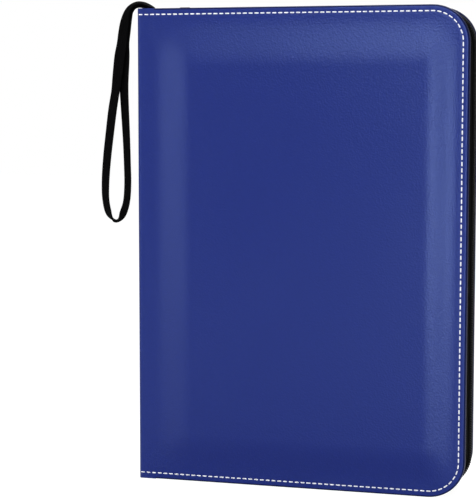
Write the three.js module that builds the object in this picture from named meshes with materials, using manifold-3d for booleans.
// A zip-around trading card binder: two padded covers and a spine, a three-ring
// mechanism with nine-pocket pages, a zip that closes three sides, and a wrist strap.
//
// Millimetres, +Z up. The binder stands closed on its bottom edge. The origin is the middle
// of the spine's bottom end: +X runs across the covers to the zip, -Y faces the front cover.
// The front half (y < 0) and the back half (y > 0) mirror each other, so most sub-parts take
// a side: -1 is the front and +1 the back.
import * as THREE from 'three';
import { mergeVertices } from 'three/addons/utils/BufferGeometryUtils.js';
import Module from 'manifold-3d';

const wasm = await Module();
wasm.setup();

// ---- driving dimensions -------------------------------------------------------------------
const HEIGHT = 350;
const GAP = 0.3; // left between pieces that touch
const FOLD_Y = 21.5; // each cover turns about the line x = 0, |y| = FOLD_Y
const PANEL_HALF = 2.5; // half the thickness of the spine panel
const SPINE_HALF_WIDTH = 21;
const COVER_START = 3.5; // the cover's spine-side edge
const COVER_END = 241.5; // the cover's zip-side edge
const COVER_CORNER = 28; // radius of the two zip-side corners

// Distances from the middle plane to the faces of a cover's layers, from inside to outside.
const LINING = [18.2, 18.9];
const BOARD = [19.2, 21.4];
const SKIN_INNER = 21.7;
const FLANGE = 24; // face of the flat sewn border
const PLATEAU = 28; // face of the padded middle
const SKIN_THICKNESS = 1;
const BORDER = 6.5; // width of the flat sewn border
const SHOULDER = 33; // width of the slope from the border up to the padded middle

const RING_X = 19.5;
const RING_RADIUS = 14;
const WIRE_RADIUS = 1.5;
const RING_SPACING = 108;
const RING_HEIGHTS = [-1, 0, 1].map((row) => HEIGHT / 2 + row * RING_SPACING);
const PLATE = { from: 35, to: 315, halfWidth: 11, base: 2.8, crown: 8.9, thickness: 0.8 };
const RIVET_HEIGHTS = [PLATE.from + 8, PLATE.to - 8];
const RIVET_RADIUS = 1.6;

const LEAF_OFFSETS = [2, 5, 8]; // distance of each leaf from the middle plane
const LEAF_THICKNESS = 0.5;
const POCKET = { width: 65.2, height: 96.7 };
const POCKETS_ACROSS = 3;
const POCKETS_UP = 3;

const ZIP_START = 14; // where the gusset and the zip begin beside the spine
const COIL_START = 19.3; // where the coils begin, after the end stops
const BAND_CORNER = 24; // corner radius of the gusset and the zip
const SLIDER_START = 20;
const STRAP = { width: 12, thickness: 1.5, layerOffset: -1.1 };
const STRAP_NOTCH = { halfWidth: 7.2, depth: 3.5 }; // in the spine's top end

// ---- materials ----------------------------------------------------------------------------
const look = (color, roughness, metalness = 0) => ({ color, roughness, metalness });
const BLUE_LEATHER = look(0x212f78, 0.55);
const FOAM = look(0x8d8f96, 0.95);
const GREYBOARD = look(0x8a8379, 0.9);
const BLACK_LINING = look(0x131316, 0.85);
const NAVY_BINDING = look(0x14193d, 0.6);
const BLACK_FABRIC = look(0x08080a, 0.9);
const BLACK_COIL = look(0x0d0d10, 0.45);
const DARK_METAL = look(0x3a3b40, 0.35, 1);
const STEEL = look(0xa9abb0, 0.3, 1);
const CHROME = look(0xd9dbe0, 0.12, 1);
const CLEAR_FILM = look(0xe6ebf0, 0.15);

// ---- building helpers ---------------------------------------------------------------------
const group = new THREE.Group();

function add(name, geometry, surface) {
  const mesh = new THREE.Mesh(geometry, new THREE.MeshStandardMaterial(surface));
  mesh.name = name;
  group.add(mesh);
}

function sideName(side) {
  return side < 0 ? 'front' : 'back';
}

// Turns the triangles the other way round when the closed surface encloses a negative volume.
function outward(geometry) {
  const index = geometry.index.array;
  const [a, b, c] = [new THREE.Vector3(), new THREE.Vector3(), new THREE.Vector3()];
  const position = geometry.attributes.position;
  let volume = 0;
  for (let i = 0; i < index.length; i += 3) {
    a.fromBufferAttribute(position, index[i]);
    b.fromBufferAttribute(position, index[i + 1]);
    c.fromBufferAttribute(position, index[i + 2]);
    volume += a.dot(b.cross(c));
  }
  if (volume < 0) index.reverse();
  return geometry;
}

// A closed solid through a stack of loops with equal numbers of points, flat at both ends.
// capPlane turns a 3-D point into the 2-D point that its end cap is triangulated with.
function loft(loops, capPlane) {
  const count = loops[0].length;
  const triangles = [];
  for (let ring = 0; ring < loops.length - 1; ring += 1) {
    for (let i = 0; i < count; i += 1) {
      const [a, b] = [ring * count + i, ring * count + ((i + 1) % count)];
      triangles.push(a, b, a + count, b, b + count, a + count);
    }
  }
  const outline = loops[0].map(capPlane);
  const caps = THREE.ShapeUtils.triangulateShape(outline, []);
  if (THREE.ShapeUtils.isClockWise(outline)) caps.forEach((cap) => cap.reverse());
  const last = (loops.length - 1) * count;
  for (const [a, b, c] of caps) triangles.push(c, b, a);
  for (const [a, b, c] of caps) triangles.push(last + a, last + b, last + c);
  const geometry = new THREE.BufferGeometry().setFromPoints(loops.flat());
  geometry.setIndex(triangles);
  return outward(geometry);
}

const onXZ = (point) => new THREE.Vector2(point.x, point.z);
const onXY = (point) => new THREE.Vector2(point.x, point.y);

function block([x0, x1], [y0, y1], [z0, z1]) {
  const box = new THREE.BoxGeometry(x1 - x0, y1 - y0, z1 - z0);
  return box.translate((x0 + x1) / 2, (y0 + y1) / 2, (z0 + z1) / 2);
}

// [near, far] distances from the middle plane, as an increasing range of y on one side.
function sideRange(side, [near, far]) {
  return side < 0 ? [-far, -near] : [near, far];
}

// Extrudes a shape drawn in X and Z between two values of y.
function extrudeAlongY(shape, [y0, y1], curveSegments = 6) {
  const options = { depth: y1 - y0, bevelEnabled: false, curveSegments };
  return new THREE.ExtrudeGeometry(shape, options).rotateX(Math.PI / 2).translate(0, y1, 0);
}

// Extrudes a profile drawn in X and Y between two heights.
function extrudeAlongZ(points, [z0, z1]) {
  const loop = (z) => points.map(([x, y]) => new THREE.Vector3(x, y, z));
  return loft([loop(z0), loop(z1)], onXY);
}

function toSolid(geometry) {
  const bare = geometry.clone();
  bare.deleteAttribute('normal');
  bare.deleteAttribute('uv');
  const merged = mergeVertices(bare, 1e-4);
  const vertProperties = new Float32Array(merged.attributes.position.array);
  const triVerts = new Uint32Array(merged.index.array);
  return new wasm.Manifold(new wasm.Mesh({ numProp: 3, vertProperties, triVerts }));
}

function fromSolid(solid) {
  const { vertProperties, triVerts } = solid.getMesh();
  const geometry = new THREE.BufferGeometry();
  geometry.setAttribute('position', new THREE.BufferAttribute(vertProperties, 3));
  geometry.setIndex(new THREE.BufferAttribute(triVerts, 1));
  return geometry;
}

function cut(geometry, tools) {
  return fromSolid(tools.reduce((solid, tool) => solid.subtract(toSolid(tool)), toSolid(geometry)));
}

function join(geometries) {
  return fromSolid(geometries.map(toSolid).reduce((solid, next) => solid.add(next)));
}

function arcPoints(centreX, centreY, radius, from, to, steps) {
  return Array.from({ length: steps + 1 }, (_, i) => {
    const angle = THREE.MathUtils.degToRad(from + ((to - from) * i) / steps);
    return [centreX + radius * Math.cos(angle), centreY + radius * Math.sin(angle)];
  });
}

// ---- covers -------------------------------------------------------------------------------
// The cover's outline drawn in by `inset` on every side, at one value of y. The zip-side
// corners are round; the spine-side ones are nearly square on the edge of the cover.
function coverLoop(inset, y) {
  const [left, right] = [COVER_START + inset, COVER_END - inset];
  const [bottom, top] = [inset, HEIGHT - inset];
  const near = 1 + inset * 0.5;
  const far = Math.max(COVER_CORNER - inset, 10);
  const corners = [
    [right - far, top - far, far, 0, 6],
    [left + near, top - near, near, 90, 3],
    [left + near, bottom + near, near, 180, 3],
    [right - far, bottom + far, far, 270, 6],
  ];
  return corners.flatMap(([x, z, radius, from, steps]) =>
    arcPoints(x, z, radius, from, from + 90, steps)).map(([x, z]) => new THREE.Vector3(x, y, z));
}

function coverSlab(side, range, inset) {
  return loft(range.map((distance) => coverLoop(inset, side * distance)), onXZ);
}

// Height of the padding above the border, from 0 at its foot to 1 where it levels out.
function padRise(across) {
  return Math.sin((Math.PI / 2) * across) ** 2;
}

function padLoops(side, inset, base, height, steps) {
  return Array.from({ length: steps + 1 }, (_, i) => {
    const across = i / steps;
    return coverLoop(inset + SHOULDER * across, side * (base + height * padRise(across)));
  });
}

// Leather cloth skin: flat border, padded middle, and a hollow behind it for the foam.
function coverSkin(side) {
  const hollowBase = SKIN_INNER + GAP;
  const hollow = padLoops(side, BORDER + 1, hollowBase, PLATEAU - SKIN_THICKNESS - hollowBase, 4);
  const rim = [coverLoop(BORDER + 1, side * SKIN_INNER), coverLoop(0, side * SKIN_INNER)];
  const crown = padLoops(side, BORDER, FLANGE, PLATEAU - FLANGE, 6);
  return loft([...hollow.reverse(), ...rim, coverLoop(0, side * FLANGE), ...crown], onXZ);
}

// Foam behind the skin: it rests on the board and stays clear of the skin's hollow.
function coverFoam(side) {
  const inset = BORDER + 1 + 2 * GAP;
  const base = SKIN_INNER + 0.1;
  const height = PLATEAU - SKIN_THICKNESS - GAP - base;
  return loft([coverLoop(inset, side * SKIN_INNER), ...padLoops(side, inset, base, height, 4)], onXZ);
}

// The cover's outline as a flat shape, drawn in by `inset`.
function loopShape(inset) {
  return new THREE.Shape(coverLoop(inset, 0).map(onXZ));
}

// Narrow binding that hides the edges of the board and the lining.
function coverBinding(side) {
  const frame = loopShape(0);
  frame.holes.push(loopShape(1.2));
  return extrudeAlongY(frame, sideRange(side, [LINING[0], BOARD[1]]));
}

function addCover(side) {
  const name = sideName(side);
  add(`${name}_cover_skin`, coverSkin(side), BLUE_LEATHER);
  add(`${name}_cover_foam`, coverFoam(side), FOAM);
  add(`${name}_cover_board`, coverSlab(side, BOARD, 1.5), GREYBOARD);
  add(`${name}_cover_lining`, coverSlab(side, LINING, 1.5), BLACK_LINING);
  add(`${name}_cover_binding`, coverBinding(side), NAVY_BINDING);
}

// ---- spine --------------------------------------------------------------------------------
const SPINE_SKIN = [-PANEL_HALF, -1];
const SPINE_BOARD = [-1 + GAP, 1.5];
const SPINE_LINING = [1.5 + GAP, PANEL_HALF];

function rivetHoles() {
  return RIVET_HEIGHTS.map((height) => {
    const hole = new THREE.CylinderGeometry(RIVET_RADIUS + GAP, RIVET_RADIUS + GAP, 30, 16);
    return hole.rotateZ(Math.PI / 2).translate(5, 0, height);
  });
}

// The skin of a fold: a quarter turn about the fold line and a short lip towards the cover.
function foldProfile(side) {
  const start = side * (SPINE_HALF_WIDTH + GAP);
  const lip = 2.1;
  const thickness = 0.8;
  const [from, to] = [180, 180 - side * 90];
  const outer = arcPoints(0, side * FOLD_Y, PANEL_HALF, from, to, 5);
  const inner = arcPoints(0, side * FOLD_Y, PANEL_HALF - thickness, to, from, 5);
  const tip = [[lip, side * FLANGE], [lip, side * (FLANGE - thickness)]];
  const foot = [[-PANEL_HALF + thickness, start], [-PANEL_HALF, start]];
  return [...outer, ...tip, ...inner, ...foot];
}

// Opening in the top end of the spine's layers, where the wrist strap is sewn in.
function strapNotch() {
  const { halfWidth, depth } = STRAP_NOTCH;
  return block([-5, 5], [-halfWidth, halfWidth], [HEIGHT - depth, HEIGHT + 1]);
}

function addSpine() {
  const along = [0, HEIGHT];
  const layer = (thickness, margin, holes) => {
    const half = SPINE_HALF_WIDTH - margin;
    return cut(block(thickness, [-half, half], along), [strapNotch(), ...holes]);
  };
  add('spine_skin', layer(SPINE_SKIN, 0, []), BLUE_LEATHER);
  add('spine_board', layer(SPINE_BOARD, 1, rivetHoles()), GREYBOARD);
  add('spine_lining', layer(SPINE_LINING, 0.5, rivetHoles()), BLACK_LINING);
  for (const side of [-1, 1]) {
    add(`${sideName(side)}_fold`, extrudeAlongZ(foldProfile(side), along), BLUE_LEATHER);
  }
}

// ---- ring mechanism -----------------------------------------------------------------------
const BLADE = { x: [3.4, 4.4], across: [0.4, 8], margin: 16 };
const WIRE_HOLE = { x: [3.4, 12], across: [3.8, 9], halfHeight: 2.2 };
const LEVER = { halfWidth: 6.5, clearance: 1 };

// Section of the arched plate: a thin parabola over the spine, open towards it.
function archProfile() {
  const { halfWidth, base, crown, thickness } = PLATE;
  const arch = (height, half, steps = 10) => Array.from({ length: steps + 1 }, (_, i) => {
    const y = -half + (2 * half * i) / steps;
    return [base + height * (1 - (y / half) ** 2), y];
  });
  const inner = arch(crown - base - thickness, halfWidth - thickness).reverse();
  return [...arch(crown - base, halfWidth), ...inner];
}

function ringPlate() {
  const { x, across, halfHeight } = WIRE_HOLE;
  const wireHoles = [-1, 1].flatMap((side) => RING_HEIGHTS.map((height) =>
    block(x, sideRange(side, across), [height - halfHeight, height + halfHeight])));
  const plate = extrudeAlongZ(archProfile(), [PLATE.from, PLATE.to]);
  return cut(plate, [...wireHoles, ...rivetHoles()]);
}

// Domed rivet: its shank passes through the plate and the lining and ends inside the board.
function rivet(height) {
  const [start, seat] = [SPINE_BOARD[0] + 0.1, PLATE.crown + GAP];
  const head = 3.6;
  const dome = arcPoints(0, seat, head, 0, 90, 4).map(([r, x]) => [r, seat + (x - seat) * 0.35]);
  const profile = [[0, start], [RIVET_RADIUS, start], [RIVET_RADIUS, seat], ...dome];
  profile[profile.length - 1][0] = 0;
  const points = profile.map(([radius, x]) => new THREE.Vector2(radius, x));
  return new THREE.LatheGeometry(points, 16).rotateZ(-Math.PI / 2).translate(0, 0, height);
}

// A tube of `section` points swept along stations that state their own frame.
function sweep(stations, section, capPlane) {
  const loops = stations.map(({ centre, across, normal }) => section.map(([u, v]) =>
    centre.clone().addScaledVector(across, u).addScaledVector(normal, v)));
  return loft(loops, capPlane);
}

// Half of one ring: a round wire from its tip on the middle plane down to its blade.
function halfRing(side, height) {
  const tipAngle = THREE.MathUtils.radToDeg(GAP / 2 / RING_RADIUS);
  const arc = arcPoints(RING_X, 0, RING_RADIUS, side * tipAngle, side * 150, 14);
  const foot = [[6.2, side * 6.6], [5.05, side * 6.5]];
  const route = [...arc, ...foot].map(([x, y]) => new THREE.Vector3(x, y, height));
  const up = new THREE.Vector3(0, 0, 1);
  const stations = route.map((centre, i) => {
    const before = route[Math.max(i - 1, 0)];
    const after = route[Math.min(i + 1, route.length - 1)];
    const along = after.clone().sub(before).normalize();
    return { centre, across: up, normal: along.cross(up) };
  });
  stations[0].normal = new THREE.Vector3(1, 0, 0);
  stations[route.length - 1].normal = new THREE.Vector3(0, -1, 0);
  const section = arcPoints(0, 0, WIRE_RADIUS, 0, 324, 9);
  return sweep(stations, section, (point) => new THREE.Vector2(point.z, point.x));
}

function addRingHalf(side) {
  const name = sideName(side);
  const along = [PLATE.from + BLADE.margin, PLATE.to - BLADE.margin];
  add(`${name}_ring_blade`, block(BLADE.x, sideRange(side, BLADE.across), along), STEEL);
  RING_HEIGHTS.forEach((height, i) => add(`${name}_half_ring_${i + 1}`, halfRing(side, height), CHROME));
}

// Thumb lever: a strip that stands up from the end of the plate and curls away from it.
function lever(end) {
  const foot = end > 0 ? PLATE.to + LEVER.clearance : PLATE.from - LEVER.clearance;
  const outline = [[4.2, 0], [14, 0], [19, 3], [22, 8.5], [20.8, 9.3], [18, 4.4], [13.6, 1.7], [4.2, 1.7]];
  const shape = new THREE.Shape(outline.map(([x, out]) => new THREE.Vector2(x, foot + end * out)));
  return extrudeAlongY(shape, [-LEVER.halfWidth, LEVER.halfWidth]);
}

function addRingMechanism() {
  add('ring_plate', ringPlate(), STEEL);
  add('ring_rivet_top', rivet(RIVET_HEIGHTS[1]), STEEL);
  add('ring_rivet_bottom', rivet(RIVET_HEIGHTS[0]), STEEL);
  addRingHalf(-1);
  addRingHalf(1);
  add('lever_top', lever(1), STEEL);
  add('lever_bottom', lever(-1), STEEL);
}

// ---- pages --------------------------------------------------------------------------------
// Where the ring passes through a leaf that lies `offset` from the middle plane.
function holeX(offset) {
  return RING_X + Math.sqrt(RING_RADIUS ** 2 - offset ** 2);
}

const PAGE_BOTTOM = (HEIGHT - POCKETS_UP * POCKET.height) / 2;
const HOLE_TO_POCKETS = 7.5;

// One leaf: a block of nine pockets with a shorter punched strip on the ring side.
function leafShape(offset) {
  const hole = holeX(offset);
  const stripStart = hole - 5.4;
  const pocketStart = hole + HOLE_TO_POCKETS;
  const pageEnd = pocketStart + POCKETS_ACROSS * POCKET.width;
  const stripBottom = PAGE_BOTTOM + 15;
  const round = 3;
  const half = [
    [pageEnd, PAGE_BOTTOM], [pocketStart, PAGE_BOTTOM], [pocketStart, stripBottom],
    [stripStart + round, stripBottom], [stripStart, stripBottom + round],
  ];
  const mirrored = half.map(([x, z]) => [x, HEIGHT - z]).reverse();
  const shape = new THREE.Shape([...half, ...mirrored].map(([x, z]) => new THREE.Vector2(x, z)));
  for (const height of RING_HEIGHTS) shape.holes.push(ringSlot(hole, height));
  return shape;
}

// The slot is longer outwards, where the wire moves when the rings open.
function ringSlot(hole, height) {
  const radius = 2.75;
  const [inner, outer] = [hole - 2.6 + radius, hole + 5.6 - radius];
  const points = [
    ...arcPoints(outer, height, radius, -90, 90, 4),
    ...arcPoints(inner, height, radius, 90, 270, 4),
  ];
  return new THREE.Path(points.map(([x, z]) => new THREE.Vector2(x, z)));
}

function leaf(side, offset) {
  const half = LEAF_THICKNESS / 2;
  return extrudeAlongY(leafShape(offset), sideRange(side, [offset - half, offset + half]));
}

function addPages(side) {
  const name = sideName(side);
  LEAF_OFFSETS.forEach((offset, i) => add(`${name}_page_${i + 1}`, leaf(side, offset), CLEAR_FILM));
}

// ---- gusset and zip -----------------------------------------------------------------------
// A band along the top, the zip side and the bottom, open beside the spine.
function bandShape(start, right, top, thickness) {
  const quarter = (inset, from, to) => {
    const radius = BAND_CORNER - inset;
    return arcPoints(right - BAND_CORNER, top - BAND_CORNER, radius, from, to, 6);
  };
  const outer = [[start, top], ...quarter(0, 90, 0)];
  const inner = [[start, top - thickness], ...quarter(thickness, 90, 0)];
  const whole = (half) => [...half, ...half.map(([x, z]) => [x, HEIGHT - z]).reverse()];
  const points = [...whole(outer), ...whole(inner).reverse()];
  return new THREE.Shape(points.map(([x, z]) => new THREE.Vector2(x, z)));
}

const GUSSET = { right: COVER_END - 0.5, top: HEIGHT - 5.5, thickness: 1.5, across: [9.3, 17.9] };
const TAPE = { right: COVER_END + 0.2, top: HEIGHT - 5, thickness: 1, across: [1.9, 9] };
const COIL = { right: COVER_END + 1.4, top: HEIGHT - 3, thickness: 2.2, across: [GAP / 2, 1.6] };

function band({ right, top, thickness, across }, start, side) {
  return extrudeAlongY(bandShape(start, right, top, thickness), sideRange(side, across));
}

// A metal stop at the top (end 1) or bottom (end -1) of one coil.
function coilStop(side, end) {
  const across = sideRange(side, COIL.across);
  const base = end > 0 ? COIL.top - COIL.thickness : HEIGHT - COIL.top;
  return block([COIL_START - 3.5, COIL_START - GAP], across, [base, base + COIL.thickness]);
}

function addZipHalf(side) {
  const name = sideName(side);
  add(`${name}_gusset`, band(GUSSET, ZIP_START, side), BLACK_FABRIC);
  add(`${name}_zip_tape`, band(TAPE, ZIP_START, side), BLACK_FABRIC);
  add(`${name}_zip_coil`, band(COIL, COIL_START, side), BLACK_COIL);
  add(`${name}_zip_stop_top`, coilStop(side, 1), DARK_METAL);
  add(`${name}_zip_stop_bottom`, coilStop(side, -1), DARK_METAL);
}

// Webbing that closes the end of the gusset beside the spine and covers the ends of the zip tapes.
function zipEndTab(end) {
  const [near, far] = end > 0 ? [HEIGHT - 6.2, HEIGHT - 4.7] : [4.7, 6.2];
  return block([PANEL_HALF + GAP, ZIP_START - 0.5], [-17, 17], [near, far]);
}

const SLIDER_LENGTH = 14;
const SLIDER_BASE = COIL.top + GAP;
const SLIDER_TOP = SLIDER_BASE + 1.7;
const PULL_AXIS = { x: SLIDER_START + 7, z: SLIDER_TOP + 0.95 };

// Slider: a plate over both coils, a hook behind the back coil and an arched bridge on top.
function slider() {
  const profile = [
    [-3.4, SLIDER_BASE], [2.2, SLIDER_BASE], [2.2, TAPE.top + GAP], [3.4, TAPE.top + GAP],
    [3.4, SLIDER_TOP], [-3.4, SLIDER_TOP],
  ];
  const loop = (x) => profile.map(([y, z]) => new THREE.Vector3(x, y, z));
  const onYZ = (point) => new THREE.Vector2(point.y, point.z);
  const body = loft([loop(SLIDER_START), loop(SLIDER_START + SLIDER_LENGTH)], onYZ);
  const [base, inside, crown] = [SLIDER_TOP - 0.2, SLIDER_TOP + 1.9, SLIDER_TOP + 2.6];
  const arch = new THREE.Shape([
    [3, base], [4.2, base], [4.4, inside], [9.6, inside],
    [9.8, base], [11, base], [10.6, crown], [3.4, crown],
  ].map(([x, z]) => new THREE.Vector2(SLIDER_START + x, z)));
  return join([body, extrudeAlongY(arch, [-1, 1])]);
}

// Pull tab: its near bar passes under the bridge, and its window clears the bridge's foot.
function pullTab() {
  const { x, z } = PULL_AXIS;
  const half = 0.55;
  const [near, far, tip] = [x - half, x + 26, x + 28.5];
  const outline = [[near, -3.2], [far, -4.2], [tip, -2.5], [tip, 2.5], [far, 4.2], [near, 3.2]];
  const window = [[x + half, -1.4], [x + 5.2, -1.4], [x + 5.2, 1.4], [x + half, 1.4]];
  const shape = new THREE.Shape(outline.map(([a, b]) => new THREE.Vector2(a, b)));
  shape.holes.push(new THREE.Path(window.map(([a, b]) => new THREE.Vector2(a, b))));
  const options = { depth: 2 * half, bevelEnabled: false };
  return new THREE.ExtrudeGeometry(shape, options).translate(0, 0, z - half);
}

// ---- wrist strap --------------------------------------------------------------------------
// The strap's route in X and Z from its anchor over to the spine side, down one leg, round
// the bottom and back. Each point states the twist of the webbing in degrees, and how much
// of the gap between the two layers applies there: 1 where they lie together, 0 in the loop.
const STRAP_OUT = [
  [0.8, 350.6, 0, 1], [-2.8, 352.6, 3, 1], [-7.2, 354, 8, 1], [-12.3, 353.4, 20, 1],
  [-16.8, 349.4, 36, 1], [-19.3, 342.4, 50, 1], [-20.8, 334, 56, 1], [-22, 325, 58, 1],
];
const STRAP_LEFT = [
  [-23.8, 316, 60, 1], [-25.4, 307, 58, 0.6], [-27, 298, 54, 0.2], [-28.4, 289, 50, 0],
  [-30.8, 275, 51, 0], [-33.2, 257, 50, 0], [-35.4, 239, 49, 0], [-36.8, 221, 47, 0],
  [-36.6, 207, 44, 0], [-34, 196.5, 38, 0], [-28.6, 191.4, 0, 0],
];
const STRAP_RIGHT = [
  [-23.8, 195.6, -38, 0], [-20.2, 205, -42, 0], [-18.9, 219, -43, 0], [-19.2, 237, -43, 0],
  [-19.8, 255, -45, 0], [-20.8, 275, -48, 0], [-21.4, 289, -51, 0], [-21.7, 298, -54, 0.2],
  [-21.9, 307, -58, 0.6], [-22, 316, -60, 1],
];

function strapStops() {
  const back = STRAP_OUT.map(([x, z, twist, layer]) => [x, z, -twist, layer]).reverse();
  return [...STRAP_OUT, ...STRAP_LEFT, ...STRAP_RIGHT, ...back];
}

function strapLoop() {
  const stops = strapStops();
  const last = stops.length - 1;
  const curve = new THREE.CatmullRomCurve3(stops.map(([x, z]) => new THREE.Vector3(x, 0, z)));
  const sideways = new THREE.Vector3(0, 1, 0);
  const count = 88;
  const stations = Array.from({ length: count + 1 }, (_, i) => {
    const place = (last * i) / count;
    const low = Math.min(Math.floor(place), last - 1);
    const share = place - low;
    const mix = (item) => THREE.MathUtils.lerp(stops[low][item], stops[low + 1][item], share);
    const twist = THREE.MathUtils.degToRad(mix(2));
    const along = curve.getTangent(i / count);
    const across = sideways.clone().multiplyScalar(Math.cos(twist));
    across.addScaledVector(sideways.clone().cross(along), Math.sin(twist));
    const normal = along.clone().cross(across);
    const centre = curve.getPoint(i / count).addScaledVector(normal, STRAP.layerOffset * mix(3));
    return { centre, across, normal };
  });
  const [w, t] = [STRAP.width / 2, STRAP.thickness / 2];
  return sweep(stations, [[-w, -t], [w, -t], [w, t], [-w, t]], onXY);
}

// Sewn end of the strap: a block of webbing that fills the notch in the spine below the loop.
function strapAnchor() {
  const seat = HEIGHT - STRAP_NOTCH.depth + GAP;
  const half = STRAP_NOTCH.halfWidth - 0.5;
  return block([-2.2, 2.2], [-half, half], [seat, seat + 2]);
}

function addStrap() {
  add('strap_loop', strapLoop(), BLACK_FABRIC);
  add('strap_anchor', strapAnchor(), BLACK_FABRIC);
}

// ---- the whole binder ---------------------------------------------------------------------
addSpine();
addRingMechanism();
addCover(-1);
addCover(1);
addPages(-1);
addPages(1);
addZipHalf(-1);
addZipHalf(1);
add('zip_end_tab_top', zipEndTab(1), BLACK_FABRIC);
add('zip_end_tab_bottom', zipEndTab(-1), BLACK_FABRIC);
add('zip_slider', slider(), DARK_METAL);
add('zip_pull_tab', pullTab(), DARK_METAL);
addStrap();

export default group;
